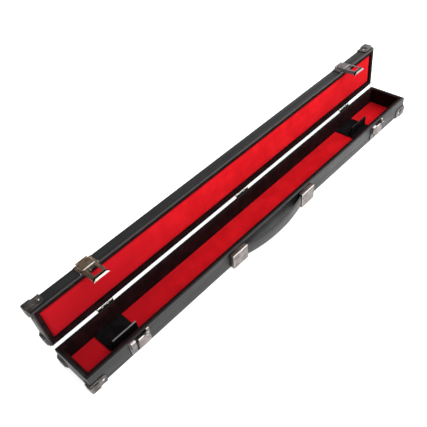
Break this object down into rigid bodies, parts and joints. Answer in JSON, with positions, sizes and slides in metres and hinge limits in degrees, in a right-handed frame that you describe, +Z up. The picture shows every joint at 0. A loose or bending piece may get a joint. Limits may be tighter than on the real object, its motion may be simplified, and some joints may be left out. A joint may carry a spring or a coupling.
{
  "type": "cue case",
  "caption": "Long shallow hinged hard case with drop latches, a strap handle, metal corner caps, a felt lining and divided rests for a jointed cue.",
  "frame": {"origin": "middle of the case's length and width, on the plane that its bottom corner caps stand on", "axes": "+X along the case to the right as seen from the handle side, +Y from the handle side towards the hinges, +Z up"},
  "size_m": [0.8258, 0.1225, 0.1257],
  "materials": {
    "covered_board": "black leather-grain vinyl over board, semi-matt",
    "red_felt": "bright red felt",
    "red_foam": "bright red felt over soft foam",
    "black_lining": "thin black flock strip",
    "black_rest": "black felt over stiff card",
    "cap_nickel": "warm nickel plate, lightly worn",
    "nail_steel": "plated domed nail",
    "hinge_steel": "black-nickel plate",
    "pin_steel": "bright wire",
    "latch_nickel": "dark nickel plate with bright edges",
    "bracket_nickel": "satin nickel plate",
    "strap_leather": "black leathercloth strap"
  },
  "bodies": {
    "base": {"base_bottom_board": "covered_board", "base_cap_front_left": "cap_nickel", "base_cap_front_right": "cap_nickel", "base_cap_rear_left": "cap_nickel", "base_cap_rear_right": "cap_nickel", "base_floor_felt": "red_felt", "base_front_wall": "covered_board", "base_left_end": "covered_board", "base_nail_front_left": "nail_steel", "base_nail_front_right": "nail_steel", "base_nail_rear_left": "nail_steel", "base_nail_rear_right": "nail_steel", "base_rear_wall": "covered_board", "base_right_end": "covered_board", "base_wall_lining": "black_lining", "cue_divider_left": "black_rest", "cue_divider_right": "black_rest", "cue_pad_left": "black_rest", "cue_pad_right": "black_rest", "handle_bracket_left": "bracket_nickel", "handle_bracket_right": "bracket_nickel", "handle_strap": "strap_leather", "hinge_left_base_leaf": "hinge_steel", "hinge_left_pin": "pin_steel", "hinge_middle_base_leaf": "hinge_steel", "hinge_middle_pin": "pin_steel", "hinge_right_base_leaf": "hinge_steel", "hinge_right_pin": "pin_steel", "latch_left_base_plate": "latch_nickel", "latch_left_keeper": "latch_nickel", "latch_right_base_plate": "latch_nickel", "latch_right_keeper": "latch_nickel"},
    "lid": {"hinge_left_lid_leaf": "hinge_steel", "hinge_middle_lid_leaf": "hinge_steel", "hinge_right_lid_leaf": "hinge_steel", "latch_left_lid_plate": "latch_nickel", "latch_left_pin": "pin_steel", "latch_right_lid_plate": "latch_nickel", "latch_right_pin": "pin_steel", "lid_cap_front_left": "cap_nickel", "lid_cap_front_right": "cap_nickel", "lid_cap_rear_left": "cap_nickel", "lid_cap_rear_right": "cap_nickel", "lid_foam_pad": "red_foam", "lid_front_wall": "covered_board", "lid_left_end": "covered_board", "lid_nail_front_left": "nail_steel", "lid_nail_front_right": "nail_steel", "lid_nail_rear_left": "nail_steel", "lid_nail_rear_right": "nail_steel", "lid_rear_wall": "covered_board", "lid_right_end": "covered_board", "lid_top_board": "covered_board", "lid_wall_lining": "black_lining"},
    "left_hasp": {"latch_left_hasp": "latch_nickel"},
    "right_hasp": {"latch_right_hasp": "latch_nickel"},
    "left_slide": {"latch_left_slide": "latch_nickel"},
    "right_slide": {"latch_right_slide": "latch_nickel"}
  },
  "joints": [
    {"name": "lid_hinge", "type": "hinge", "parent": "base", "child": "lid", "pos_m": [0, 0.0411, 0.0386], "axis": [1, 0, 0], "range_deg": [0, 93]},
    {"name": "left_hasp_hinge", "type": "hinge", "parent": "lid", "child": "left_hasp", "pos_m": [-0.3105, 0.06184, 0.12103], "axis": [-1, 0, 0], "range_deg": [0, 110]},
    {"name": "right_hasp_hinge", "type": "hinge", "parent": "lid", "child": "right_hasp", "pos_m": [0.3135, 0.06184, 0.12103], "axis": [-1, 0, 0], "range_deg": [0, 110]},
    {"name": "left_button_slide", "type": "slide", "parent": "base", "child": "left_slide", "axis": [-1, 0, 0], "range_m": [0, 0.003], "stiffness_N_per_m": 200},
    {"name": "right_button_slide", "type": "slide", "parent": "base", "child": "right_slide", "axis": [-1, 0, 0], "range_m": [0, 0.003], "stiffness_N_per_m": 200}
  ]
}
